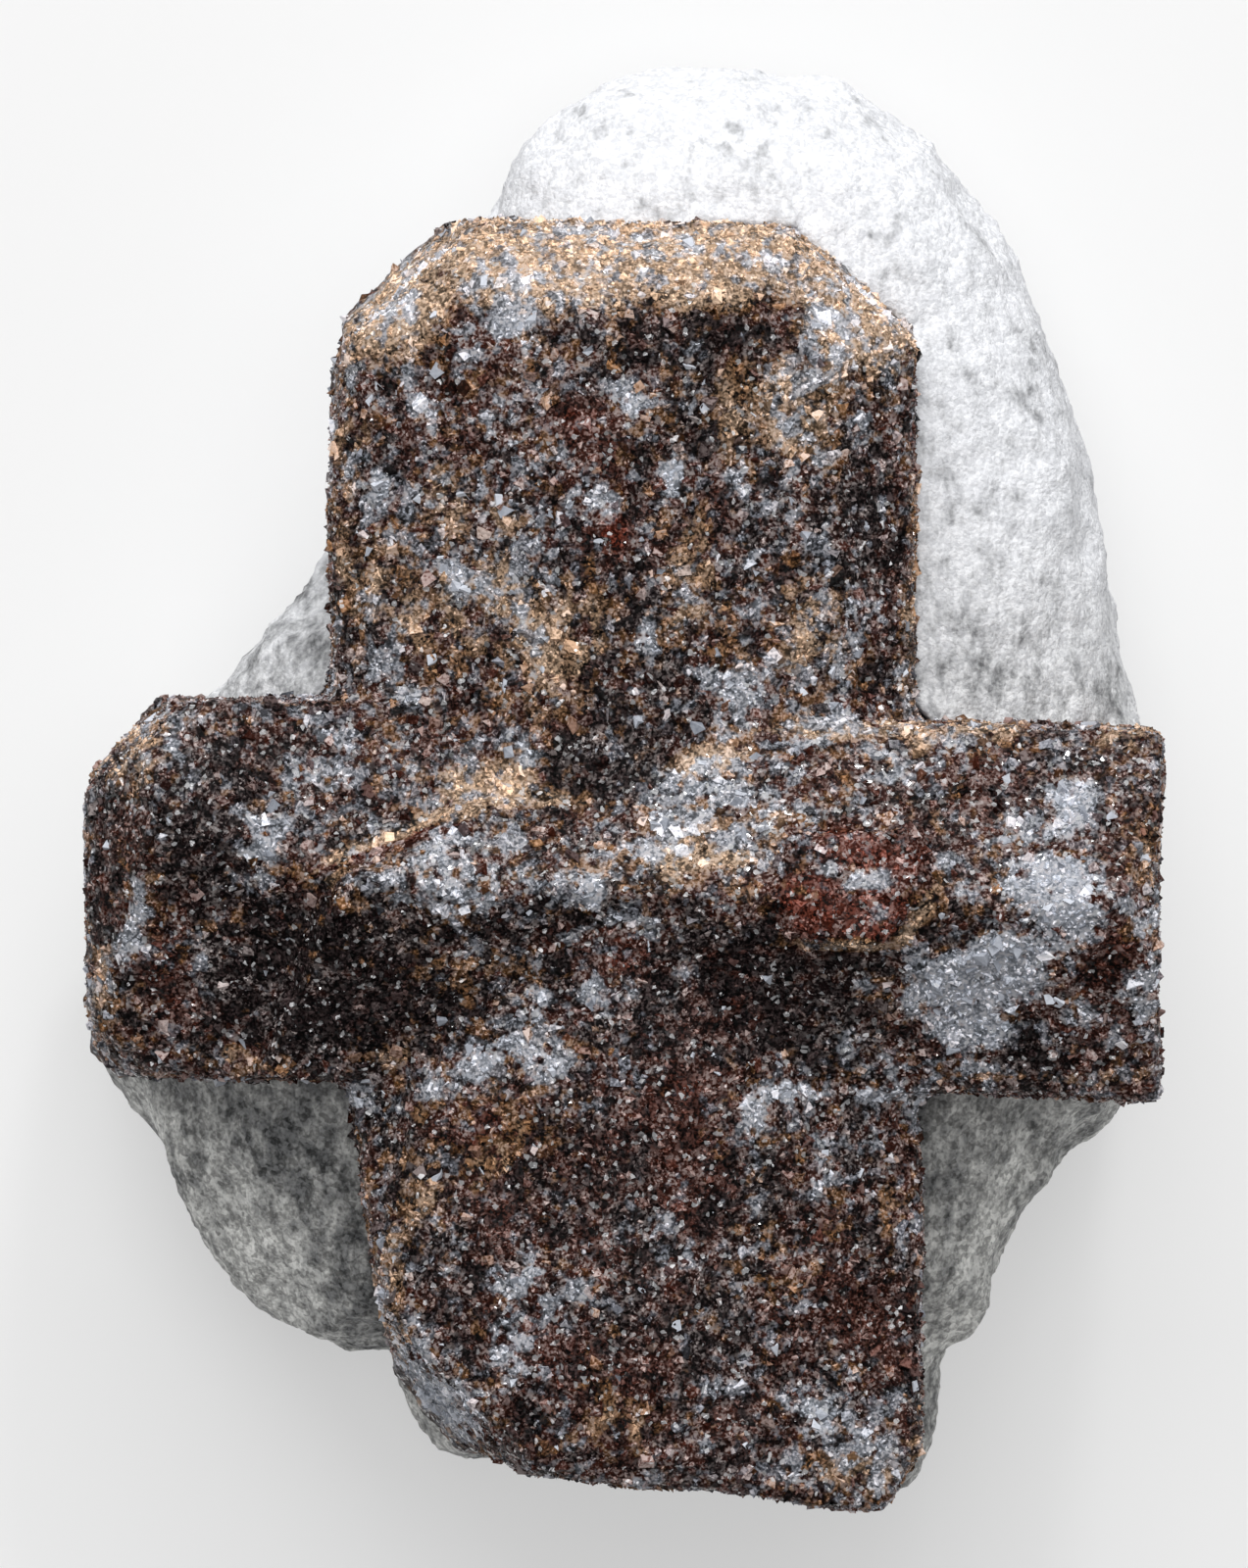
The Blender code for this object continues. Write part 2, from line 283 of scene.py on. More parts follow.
def geometry_group(name, inputs):
    """A tree with geometry in and out, and these (name, socket kind, default) inputs."""
    tree = bpy.data.node_groups.new(name, "GeometryNodeTree")
    tree.interface.new_socket("Geometry", in_out="INPUT", socket_type="NodeSocketGeometry")
    for title, kind, default in inputs:
        socket = tree.interface.new_socket(title, in_out="INPUT", socket_type=kind)
        if default is not None:
            socket.default_value = default
    tree.interface.new_socket("Geometry", in_out="OUTPUT", socket_type="NodeSocketGeometry")
    return tree, tree.nodes.new("NodeGroupInput"), tree.nodes.new("NodeGroupOutput")


def finish_tree(tree, result, geometry, finish):
    """Every tree ends in plain mesh with its material on."""
    real = put(tree, "GeometryNodeRealizeInstances", {0: geometry})
    dressed = put(tree, "GeometryNodeSetMaterial", {"Geometry": real.outputs[0], "Material": finish})
    tree.links.new(dressed.outputs[0], result.inputs[0])


def grow(obj, tree, values):
    """Runs a geometry tree on the object with these input values, and keeps the result as plain mesh."""
    modifier = obj.modifiers.new(tree.name, "NODES")
    modifier.node_group = tree
    for item in tree.interface.items_tree:
        if item.in_out == "INPUT" and item.name in values:
            modifier[item.identifier] = values[item.name]
    settle(obj)


# A domed grain stands out where it is nearer to its middle than this share of its size.
DOME_FOOT = 0.45


def relief_tree():
    """Raises a skin along its normals in waves, knocks and domed grains, drawn out in Y by Stretch."""
    names = ("Wave", "Wave height", "Knock", "Knock height", "Grain", "Grain height", "Stretch")
    sizes = (1.1 * MM, 0.06 * MM, 0.4 * MM, 0.04 * MM, 0.17 * MM, 0.03 * MM, 1.0)
    inputs = [(name, "NodeSocketFloat", size) for name, size in zip(names, sizes)]
    inputs.append(("Material", "NodeSocketMaterial", None))
    tree, given, result = geometry_group("relief", inputs)
    place = put(tree, "GeometryNodeInputPosition").outputs[0]
    shrink = maths(tree, "DIVIDE", 1.0, given.outputs["Stretch"])
    squeeze = put(tree, "ShaderNodeCombineXYZ", {0: 1.0, 1: shrink, 2: 1.0}).outputs[0]
    drawn = stretched(tree, place, squeeze)
    height = 0.0
    for name in ("Wave", "Knock"):
        scale = maths(tree, "DIVIDE", 1.0, given.outputs[name])
        cloud = put(tree, "ShaderNodeTexNoise", {"Vector": drawn, "Scale": scale, "Detail": 2.0})
        centred = maths(tree, "SUBTRACT", cloud.outputs[0], 0.5)
        height = maths(tree, "MULTIPLY_ADD", centred, given.outputs[name + " height"], height)
    scale = maths(tree, "DIVIDE", 1.0, given.outputs["Grain"])
    sites = put(tree, "ShaderNodeTexVoronoi", {"Vector": drawn, "Scale": scale})
    centred = maths(tree, "SUBTRACT", DOME_FOOT, sites.outputs["Distance"])
    height = maths(tree, "MULTIPLY_ADD", centred, given.outputs["Grain height"], height)
    shift = scaled(tree, put(tree, "GeometryNodeInputNormal").outputs[0], height)
    moved = put(tree, "GeometryNodeSetPosition", {"Geometry": given.outputs[0], "Offset": shift})
    finish_tree(tree, result, moved.outputs[0], given.outputs["Material"])
    return tree


RELIEF = relief_tree()


def schist_finish():
    """White mica and quartz with soft blue-grey biotite streaks, duller and darker toward the foot."""
    made, tree, shader = new_finish("mica_schist")
    place = put(tree, "ShaderNodeTexCoord").outputs["Object"]
    lean = put(
        tree,
        "ShaderNodeMapping",
        {"Vector": place, "Rotation": (0.0, 0.0, STREAK_LEAN), "Scale": STREAK_STRETCH},
    ).outputs[0]
    north = put(tree, "ShaderNodeSeparateXYZ", {0: place}).outputs[1]
    foot = soft_step(tree, north, CROWN_END, FOOT_END)
    # Painted shade: more biotite darkens the schist beside the crystal, where its shadow falls.
    shade = mark_in_finish(tree, "shade")
    streaks = mottle(tree, lean, STREAK_SIZE, 5.0)
    specks = mottle(tree, lean, SPECK_SIZE, 3.0)
    patches = mottle(tree, place, PATCH_SIZE, 9.0)
    blotches = mottle(tree, place, BLOTCH_SIZE, 7.0)
    sugar = mottle(tree, place, MICA_SUGAR, 13.0)
    pick, _, body = grain(tree, place, MICA_GRAIN)
    dark_sum = weighed(
        tree, (streaks, 0.30), (specks, 0.22), (patches, 0.26), (blotches, 0.28), (pick, 0.06),
        (foot, 0.24), (shade, 0.24)
    )
    biotite = soft_step(tree, dark_sum, *BIOTITE_SHOWS)
    grit = soft_step(tree, weighed(tree, (pick, 0.5), (sugar, 0.5)), 0.15, 0.85)
    pale = blended(tree, grit, *PALE_MICA)
    dull = blended(tree, grit, *DULL_MICA)
    ground = blended(tree, foot, pale, dull)
    fleck = blended(tree, grit, *BIOTITE)
    flecked = blended(tree, maths(tree, "MULTIPLY", biotite, BIOTITE_COVER), ground, fleck)
    tree.links.new(flecked, shader.inputs["Base Color"])
    rough = maths(tree, "MULTIPLY_ADD", soft_step(tree, sugar, 0.75, 1.0), -0.3, 0.65)
    tree.links.new(rough, shader.inputs["Roughness"])
    shader.inputs["Specular IOR Level"].default_value = SCHIST_GLOSS
    height = weighed(tree, (sugar, 0.5), (body, 0.5))
    inputs = {"Strength": BUMP_STRENGTH, "Distance": SCHIST_BUMP, "Height": height}
    bump = put(tree, "ShaderNodeBump", inputs)
    tree.links.new(bump.outputs[0], shader.inputs["Normal"])
    return made


SCHIST_FINISH = schist_finish()
crystal_form = merged_copy("staurolite_twin", "crystal_form")
crystal_tree = BVHTree.FromObject(crystal_form, bpy.context.evaluated_depsgraph_get())


def close_the_bed(mesh):
    """Draws the schist near the crystal up against it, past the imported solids' gap."""
    points = places(mesh)
    moved = points.copy()
    for index, point in enumerate(points):
        nearest, _, _, distance = crystal_tree.find_nearest(Vector(point), BED_REACH)
        if nearest is None or distance < TOUCHING:
            continue
        away = min(1.0, max(0.0, (distance - BED_GAP) / (BED_REACH - BED_GAP)))
        pull = BED_PULL * (1.0 - away * away * (3.0 - 2.0 * away))
        moved[index] += (np.array(nearest) - point) / distance * pull
    set_places(mesh, moved)


# Each patch is its centre X and Y, its two radii (millimetres), its turn (degrees) and its strength.
# Painted shade: these patches darken the schist where the crystal's shadow falls, in the hollows beside
# it and under its bar.
SCHIST_PAINTED_SHADE = (
    (-5.77, -5.85, 1.50, 0.83, -30, 0.90), (-4.85, -7.52, 0.67, 1.50, 0, 0.70),
    (-4.40, -9.02, 0.50, 1.17, 0, 0.60), (-7.27, -5.18, 1.00, 0.67, 0, 0.40),
    (6.07, -5.85, 1.00, 0.67, 0, 0.20), (5.23, -6.85, 0.37, 1.50, 0, 0.40),
    (-5.93, 2.15, 1.17, 0.77, 0, 1.10), (-5.43, 2.65, 0.57, 1.17, 0, 1.00),
    (7.07, 1.65, 1.83, 0.73, 0, 0.45), (5.40, 3.98, 0.57, 2.50, 0, 0.55),
    (6.73, 3.98, 1.00, 2.67, 10, 0.30), (-1.27, 9.90, 1.50, 0.27, 0, 0.20),
)


# A patch fades from half its radii out to one and a half. Upward, it comes in over the rise.
PATCH_RIM = 1.5
PATCH_RISE = 1.5 * MM


def patch_strength(points, patches):
    """How strongly each point lies in the patches."""
    across = points[:, :2] / MM
    strongest = np.zeros(len(points), np.float32)
    for x, y, along, aside, turn, strength in patches:
        angle = math.radians(turn)
        east, north = across[:, 0] - x, across[:, 1] - y
        u = (east * math.cos(angle) + north * math.sin(angle)) / along
        v = (north * math.cos(angle) - east * math.sin(angle)) / aside
        fade = np.clip(PATCH_RIM - np.sqrt(u * u + v * v), 0.0, 1.0)
        strongest = np.maximum(strongest, fade * strength)
    return strongest


def paint(mesh, name, patches, lowest):
    """Stores how strongly each point of the skin lies in the patches, from this height up."""
    points = places(mesh)
    front = np.clip((points[:, 2] - lowest) / PATCH_RISE, 0.0, 1.0)
    layer = mesh.attributes.new(name, "FLOAT", "POINT")
    layer.data.foreach_set("value", patch_strength(points, patches) * front)


schist = merged_copy("schist_matrix", "schist_lump")
resurface(schist, SCHIST_VOXEL, SCHIST_SMOOTHING)
close_the_bed(schist.data)
paint(schist.data, "shade", SCHIST_PAINTED_SHADE, SCHIST_PAINTED_SHADE_LOWEST)
grow(schist, RELIEF, {
    "Wave": 0.9 * MM, "Wave height": 0.16 * MM, "Knock": 0.34 * MM, "Knock height": 0.14 * MM,
    "Grain": 0.21 * MM, "Grain height": 0.09 * MM, "Stretch": 1.4, "Material": SCHIST_FINISH,
})
set_places(schist.data, places(schist.data))
schist.data.shade_smooth()
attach(schist, "root")
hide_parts("schist_matrix")


# The staurolite: two dark brown prisms grown through each other at right angles as one crystal. Its
# skin is a crust of sugary grains, dark staurolite with blue-white quartz caught in it, stained ochre
# and rust along worn edges. It grew in the schist and is held by it.
STAUROLITE_VOXEL = 0.138 * MM
STAUROLITE_SMOOTHING = 4
# The skin lies in the shade between its crumbs, and its colour is darkened to this share of their
# brightness as painted shade.
SKIN_SHADED_SHARE = 0.45
PATCH_LOWEST = 4.5 * MM
CRUST_GLOSS = 0.08
CRUST_BUMP = 0.03 * MM
GLINT_ROUGHNESS = 0.07
STAUROLITE = (0.024, 0.0088, 0.0098)
# Each stain's colour is its dark and its light end.
RUST = ((0.145, 0.032, 0.014), (0.28, 0.048, 0.018))
OCHRE = ((0.42, 0.19, 0.064), (1.0, 0.69, 0.46))
QUARTZ = ((0.29, 0.31, 0.37), (0.77, 0.83, 0.94))
STAIN_COVER = 0.9
# Each stain comes in over the first span of its mottled strength, and turns light over the second.
RUST_SPANS = ((0.31, 0.65), (0.42, 0.68))
OCHRE_SPANS = ((0.590, 0.805), (0.31, 0.61))
QUARTZ_SPANS = ((0.595, 0.785), (0.21, 0.47))
# Strong ochre is bleached and strong quartz is frosted, over these spans. The bleaching also lightens
# the top band as painted light.
BLEACHED_SPAN = (0.50, 0.85)
FROSTED_SPAN = (0.48, 0.70)
# Painted highlights: near-white colours mixed into the brightest grains, and white painted on a few fine
# grains, as their glints.
PAINTED_SPARKLE = (0.95, 0.86, 0.83)
PAINTED_GLINT = (0.90, 0.90, 0.92)
# Each patch is its centre X and Y, its two radii (millimetres), its turn (degrees) and its strength.
# Most are quartz in the crust. The broad faint ones on the bar's upper facets and along the top also
# lighten those faces as painted light, where they face the key light.
QUARTZ_PATCHES = (
    (7.40, -1.93, 0.77, 0.83, 0, 1.13), (6.40, -3.10, 1.33, 0.63, 28, 1.01),
    (5.57, -3.55, 0.87, 0.40, 10, 0.97), (6.10, -4.27, 0.37, 0.63, 0, 0.76),
    (7.65, -0.45, 0.43, 0.53, 20, 0.92), (8.87, -3.02, 0.22, 1.03, 0, 0.76),
    (-7.95, -0.93, 0.25, 0.23, 0, 0.67), (-8.38, -2.60, 0.23, 0.75, -8, 0.76),
    (-7.07, -2.88, 0.37, 0.33, 0, 0.59), (-6.13, -1.15, 0.30, 0.20, 0, 0.59),
    (-4.85, -3.05, 0.23, 0.17, 0, 0.50), (-2.70, -2.85, 0.33, 0.27, 0, 0.67),
    (-0.55, -1.88, 0.25, 0.37, 0, 0.84), (-0.52, -3.57, 0.27, 0.23, 0, 0.84),
    (0.15, -3.60, 0.17, 0.20, 0, 0.76), (-2.30, -4.72, 0.57, 0.28, 0, 0.76),
    (-1.27, -4.85, 0.37, 0.20, 0, 0.59), (-3.43, 1.53, 0.37, 0.17, 0, 0.59),
    (-1.60, 0.48, 0.23, 0.30, 0, 0.59), (-0.02, 6.57, 0.30, 0.45, 0, 0.84),
    (-1.85, 7.78, 0.40, 0.30, 0, 0.67), (-3.43, 6.35, 0.23, 0.47, 10, 0.76),
    (-2.77, 3.52, 0.37, 0.33, 0, 0.76), (-0.40, 4.78, 0.50, 0.23, 0, 0.67),
    (0.77, 5.32, 0.18, 0.40, 0, 0.80), (-1.33, 5.55, 0.67, 0.33, 0, 0.46),
    (4.10, 5.98, 0.23, 0.33, 0, 0.59), (-4.13, 4.90, 0.20, 0.30, 0, 0.42),
    (0.32, -7.52, 0.57, 0.40, -20, 0.88), (0.90, -8.18, 0.40, 0.33, 0, 0.76),
    (-1.27, -8.65, 0.80, 0.63, 0, 0.71), (-1.80, -9.77, 0.67, 0.47, 0, 0.71),
    (1.60, -10.28, 0.40, 0.25, 0, 0.80), (3.40, -10.68, 0.67, 0.33, 0, 0.50),
    (2.73, -5.28, 0.67, 0.17, 0, 0.76), (3.90, -5.30, 1.03, 0.12, 0, 0.76),
    (4.82, -5.38, 0.37, 0.13, 0, 0.71), (2.23, -5.60, 0.25, 0.40, 0, 0.67),
    (3.57, -10.85, 0.47, 0.30, 0, 0.50), (1.07, -3.10, 0.17, 0.23, 0, 0.76),
    (5.23, -3.35, 0.50, 0.37, 0, 0.67), (4.13, -1.68, 0.40, 0.25, 0, 0.67),
    (3.37, -1.48, 0.27, 0.20, 0, 0.55), (1.82, 1.65, 0.67, 0.37, 0, 0.34),
    (3.40, -6.52, 0.23, 0.50, 0, 0.42), (-3.27, -5.10, 0.17, 0.50, 0, 0.59),
    (0.32, 2.40, 0.23, 0.23, 0, 0.67), (-4.60, -5.35, 0.23, 0.17, 0, 0.50),
    (-0.27, 8.82, 4.00, 0.67, 0, 0.08), (3.73, 7.98, 1.00, 0.83, -40, 0.34),
    (-3.43, 8.48, 1.00, 0.50, 40, 0.13), (-3.10, -10.68, 0.83, 0.57, 0, 0.76),
    (-3.43, -10.02, 0.50, 0.67, 0, 0.50), (-2.27, -1.85, 1.83, 0.57, -6, 0.25),
    (-5.27, 0.65, 1.50, 0.57, 0, 0.29), (2.73, -0.68, 1.33, 0.67, 0, 0.38),
    (1.07, -0.52, 1.00, 0.50, 0, 0.29), (2.40, -0.02, 2.00, 0.57, 0, 0.25),
    (0.07, -1.02, 1.00, 0.50, 0, 0.25),
)
OCHRE_PATCHES = (
    # The strong band along the top is partly the crust's tan stain and partly painted light on the
    # upright's lit top.
    (-0.27, 8.95, 4.17, 0.80, 0, 1.60), (-3.60, 8.48, 1.60, 0.73, 42, 1.20),
    (4.07, 7.82, 1.00, 0.77, -40, 1.50), (3.32, 6.90, 1.33, 0.50, -10, 0.55),
    (-4.73, 5.48, 0.37, 1.17, 0, 0.60), (-2.60, 4.65, 1.00, 0.73, 0, 0.70),
    (-3.68, 3.48, 1.10, 0.93, 0, 0.80), (-2.27, 3.32, 0.83, 0.83, 0, 0.75),
    (-0.93, 2.40, 1.17, 1.33, 0, 0.65), (2.73, 6.15, 1.17, 0.83, 0, 0.70),
    (3.32, 2.65, 0.77, 0.77, 0, 0.60), (-2.27, -0.10, 0.73, 0.40, 0, 1.35),
    (-1.27, -0.27, 0.77, 0.23, 0, 0.85), (1.43, 0.38, 0.70, 0.28, 10, 1.35),
    (3.57, 0.90, 1.75, 0.15, 0, 0.95), (-3.85, -0.85, 1.33, 0.12, 20, 1.30),
    (-4.77, -1.25, 0.67, 0.12, 25, 1.20), (-2.77, -0.52, 0.67, 0.13, 12, 1.30),
    (8.57, 0.78, 0.73, 0.23, 0, 0.70), (8.80, -1.15, 0.27, 0.73, 0, 0.75),
    (7.23, -5.02, 1.50, 0.13, 0, 0.70), (6.07, 0.90, 1.00, 0.17, 0, 0.60),
    (-6.35, -4.72, 0.90, 0.23, -8, 0.75), (-3.93, -4.65, 0.77, 0.27, 0, 0.70),
    (-8.52, 0.57, 0.73, 0.67, 45, 0.75), (-9.00, -3.52, 0.22, 1.00, -6, 0.60),
    (-2.60, -3.35, 1.50, 0.77, 0, 0.45), (-3.52, -6.93, 0.73, 1.10, 0, 0.60),
    (-3.97, -8.68, 0.37, 1.33, 5, 0.75), (-1.27, -6.27, 1.00, 1.00, 0, 0.60),
    (-2.27, -6.35, 0.67, 0.67, 0, 0.60), (0.07, -10.85, 1.17, 0.57, 0, 0.80),
    (2.73, -8.18, 0.50, 0.67, 0, 0.50), (4.40, -11.77, 0.73, 0.40, 0, 0.70),
    (3.40, -7.18, 1.17, 0.93, 0, 0.35), (-4.93, -1.68, 1.17, 0.50, 0, 0.40),
    (1.07, -1.35, 1.00, 0.57, 0, 0.70), (-1.27, -1.35, 1.00, 0.33, 0, 0.30),
    (1.07, 3.48, 0.50, 0.83, 0, 0.35), (5.03, 0.65, 0.33, 0.20, 0, 0.60),
    (4.90, 3.32, 0.15, 2.00, 0, 0.45), (3.70, -2.75, 0.97, 0.10, 0, 1.40),
    (4.82, -2.52, 0.33, 0.12, 50, 1.20), (5.07, -2.10, 0.17, 0.57, -30, 0.70),
    (1.07, 9.57, 1.83, 0.23, 0, 0.70),
)
RED_PATCHES = (
    (-0.18, 4.23, 0.37, 0.32, 0, 1.00), (3.82, -1.12, 0.83, 0.40, -15, 1.05),
    (3.17, -2.10, 0.53, 0.57, 20, 1.35), (4.40, -1.98, 0.73, 0.37, 15, 1.05),
    (3.90, -2.45, 0.77, 0.23, 0, 1.10), (0.10, -2.93, 0.50, 0.27, 0, 0.80),
    (4.83, -1.42, 0.33, 0.50, -20, 1.10), (-2.18, -5.85, 1.00, 0.43, 0, 0.60),
    (-1.27, -7.18, 1.50, 1.00, 0, 0.50), (-0.27, -10.35, 2.00, 1.00, 0, 0.45),
    (1.07, -6.68, 1.00, 1.00, 0, 0.40), (3.40, -8.85, 1.00, 1.67, 0, 0.30),
    (-7.77, -3.52, 0.50, 0.67, 0, 0.60), (-0.60, 6.15, 0.67, 0.33, 0, 0.60),
    (6.07, 0.32, 1.00, 0.47, 0, 0.50), (8.23, -3.02, 0.43, 1.00, 0, 0.50),
    (4.40, -9.68, 0.67, 1.17, 0, 0.50), (1.07, -5.52, 0.83, 0.67, 0, 0.45),
    (-3.93, -0.98, 1.50, 0.15, 20, 1.10), (3.40, 0.15, 1.00, 0.50, 0, 0.30),
)
# The bar of the cross, in which the mottling is drawn out across instead of along the upright.
BAR_SPAN = (
    (0.0, -1.9, 30.0, 2.6, 0, 2.0),
)
# These patches hold the pale stains back, partly for the crust's own darker places and partly as painted
# shade on the facets turned from the key light, in the V, under the bar and under the plate's lower
# edge.
DARK_AND_SHADE_PATCHES = (
    (-0.60, 0.12, 0.77, 0.97, 0, 1.30), (4.43, 4.65, 0.60, 2.00, 0, 0.80),
    (0.07, 1.65, 1.00, 1.83, 0, 0.50), (-7.35, -1.35, 0.83, 1.17, 0, 1.10),
    (-5.10, -3.43, 2.50, 1.33, 0, 1.60), (-1.93, -2.68, 1.50, 0.83, 0, 0.70),
    (2.32, -3.52, 1.75, 1.17, 0, 1.50), (1.07, -2.02, 1.00, 0.50, 0, 0.30),
    (6.90, -4.43, 0.83, 0.57, 0, 0.70), (8.23, -3.10, 0.37, 1.00, 0, 0.80),
    (-4.02, -6.02, 0.60, 1.00, 0, 0.70), (3.73, -6.43, 0.87, 0.77, 0, 0.60),
    (1.07, 7.57, 1.83, 0.67, 0, 0.80), (1.07, 6.65, 1.00, 1.00, 0, 0.50),
    (-1.77, -10.93, 0.77, 0.43, 0, 0.60), (-4.77, 3.48, 0.33, 1.00, 0, 0.60),
    (-3.10, -2.52, 1.00, 0.67, 0, 0.50), (-8.85, -1.68, 0.30, 1.33, 0, 0.80),
    (-6.60, 0.15, 1.00, 0.57, 0, 0.60), (0.07, -5.85, 1.50, 0.83, 0, 0.35),
    (3.23, 3.98, 1.00, 1.33, 0, 0.40), (4.40, -8.35, 0.50, 1.33, 0, 0.20),
    (6.07, -0.02, 0.60, 0.40, 0, 0.40), (0.07, -7.02, 3.67, 1.67, 0, 0.80),
    (0.40, -9.68, 3.33, 1.50, 0, 0.70), (3.40, -3.35, 2.00, 1.00, 0, 0.40),
    (-6.43, -3.52, 1.83, 1.17, 0, 0.40), (3.57, -3.10, 1.50, 0.23, 0, 1.40),
)


# The mottling is drawn out along Y on the upright and along X on the bar.
UPRIGHT_STRETCH = (1.0, 0.6, 1.0)
BAR_STRETCH = (0.6, 1.0, 1.0)
# Each stain with the seed of its mottling, and the sizes of its broad and close blotches (millimetres).
STAINS = (("quartz", 1.0, 0.95, 0.28), ("ochre", 5.0, 1.2, 0.34), ("red", 9.0, 1.5, 0.4))


def mark_in_tree(tree, name):
    """A value that the mesh carries under this name, read in a geometry tree."""
    return put(tree, "GeometryNodeInputNamedAttribute", {"Name": name}, data_type="FLOAT").outputs[0]


def leave_mark(tree, geometry, name, value, kind="FLOAT", domain="POINT"):
    """Stores a value on the geometry under this name."""
    inputs = {"Geometry": geometry, "Name": name, "Value": value}
    made = put(tree, "GeometryNodeStoreNamedAttribute", inputs, data_type=kind, domain=domain)
    return made.outputs[0]


def ground_tree():
    """Breaks up the rims of the painted patches with mottling, and mottles the skin between them."""
    inputs = (
        ("Patch weight", "NodeSocketFloat", 0.33),
        ("Mottle weight", "NodeSocketFloat", 0.27),
        ("Dark weight", "NodeSocketFloat", 0.15),
        ("Red weight", "NodeSocketFloat", 0.10),
        ("Material", "NodeSocketMaterial", None),
    )
    tree, given, result = geometry_group("ground", inputs)
    place = put(tree, "GeometryNodeInputPosition").outputs[0]
    along_bar = mark_in_tree(tree, "along_bar")
    ways = [stretched(tree, place, stretch) for stretch in (UPRIGHT_STRETCH, BAR_STRETCH)]
    # The dark patches, partly painted shade, hold the stains back.
    shade = maths(tree, "MULTIPLY", mark_in_tree(tree, "dark"), given.outputs["Dark weight"])
    driven = maths(tree, "MULTIPLY_ADD", mark_in_tree(tree, "red"), given.outputs["Red weight"], shade)
    skin = given.outputs[0]
    for name, seed, *sizes in STAINS:
        layers = []
        for size in sizes:
            upright, across = (
                put(
                    tree,
                    "ShaderNodeTexNoise",
                    {"Vector": way, "W": seed, "Scale": 1.0 / MM / size, "Detail": 2.0},
                    noise_dimensions="4D",
                ).outputs[0]
                for way in ways
            )
            cloud = put(tree, "ShaderNodeMix", {0: along_bar, 2: upright, 3: across}).outputs[0]
            layers.append(spread(tree, cloud))
        mottled = maths(tree, "MULTIPLY", maths(tree, "ADD", *layers), given.outputs["Mottle weight"])
        strength = mark_in_tree(tree, name)
        painted = maths(tree, "MULTIPLY_ADD", strength, given.outputs["Patch weight"], mottled)
        ground = maths(tree, "SUBTRACT", painted, shade if name == "red" else driven)
        skin = leave_mark(tree, skin, name + "_ground", ground)
    finish_tree(tree, result, skin, given.outputs["Material"])
    return tree


def clouds_group():
    """Three independent soft mottlings with blotches of about this size, each spread over 0 to 1."""
    tree, given, result = shader_group(
        "clouds",
        (("Place", "NodeSocketVector", None), ("Size", "NodeSocketFloat", 0.2 * MM)),
        (("First", "NodeSocketFloat"), ("Second", "NodeSocketFloat"), ("Third", "NodeSocketFloat")),
    )
    scale = maths(tree, "DIVIDE", 1.0, given.outputs["Size"])
    cloud = put(
        tree, "ShaderNodeTexNoise", {"Vector": given.outputs["Place"], "Scale": scale, "Detail": 1.0}
    )
    parts = put(tree, "ShaderNodeSeparateColor", {0: cloud.outputs[1]})
    for index, name in enumerate(("First", "Second", "Third")):
        tree.links.new(spread(tree, parts.outputs[index]), result.inputs[name])
    return tree


CLOUDS = clouds_group()


def clouds(tree, place, size):
    made = put(tree, "ShaderNodeGroup", node_tree=CLOUDS)
    tree.links.new(place, made.inputs["Place"])
    made.inputs["Size"].default_value = size
    return made.outputs["First"], made.outputs["Second"], made.outputs["Third"]


# The sizes of the crust's grains and of its lumps, which reach twice as deep as they are wide.
SKIN_GRAIN = 0.12 * MM
FINE_GRAIN = 0.075 * MM
BROAD_LUMP = 0.30 * MM
CLOSE_LUMP = 0.13 * MM
SUGAR_LUMP = 0.055 * MM
LUMP_STRETCH = (1.0, 1.0, 0.5)
# The finest grains that glint through their coat, and the fewer that are painted white as painted
# glints, by their own chance.
GLINT_SPAN = (0.80, 0.88)
PAINTED_GLINT_SPAN = (0.945, 0.975)


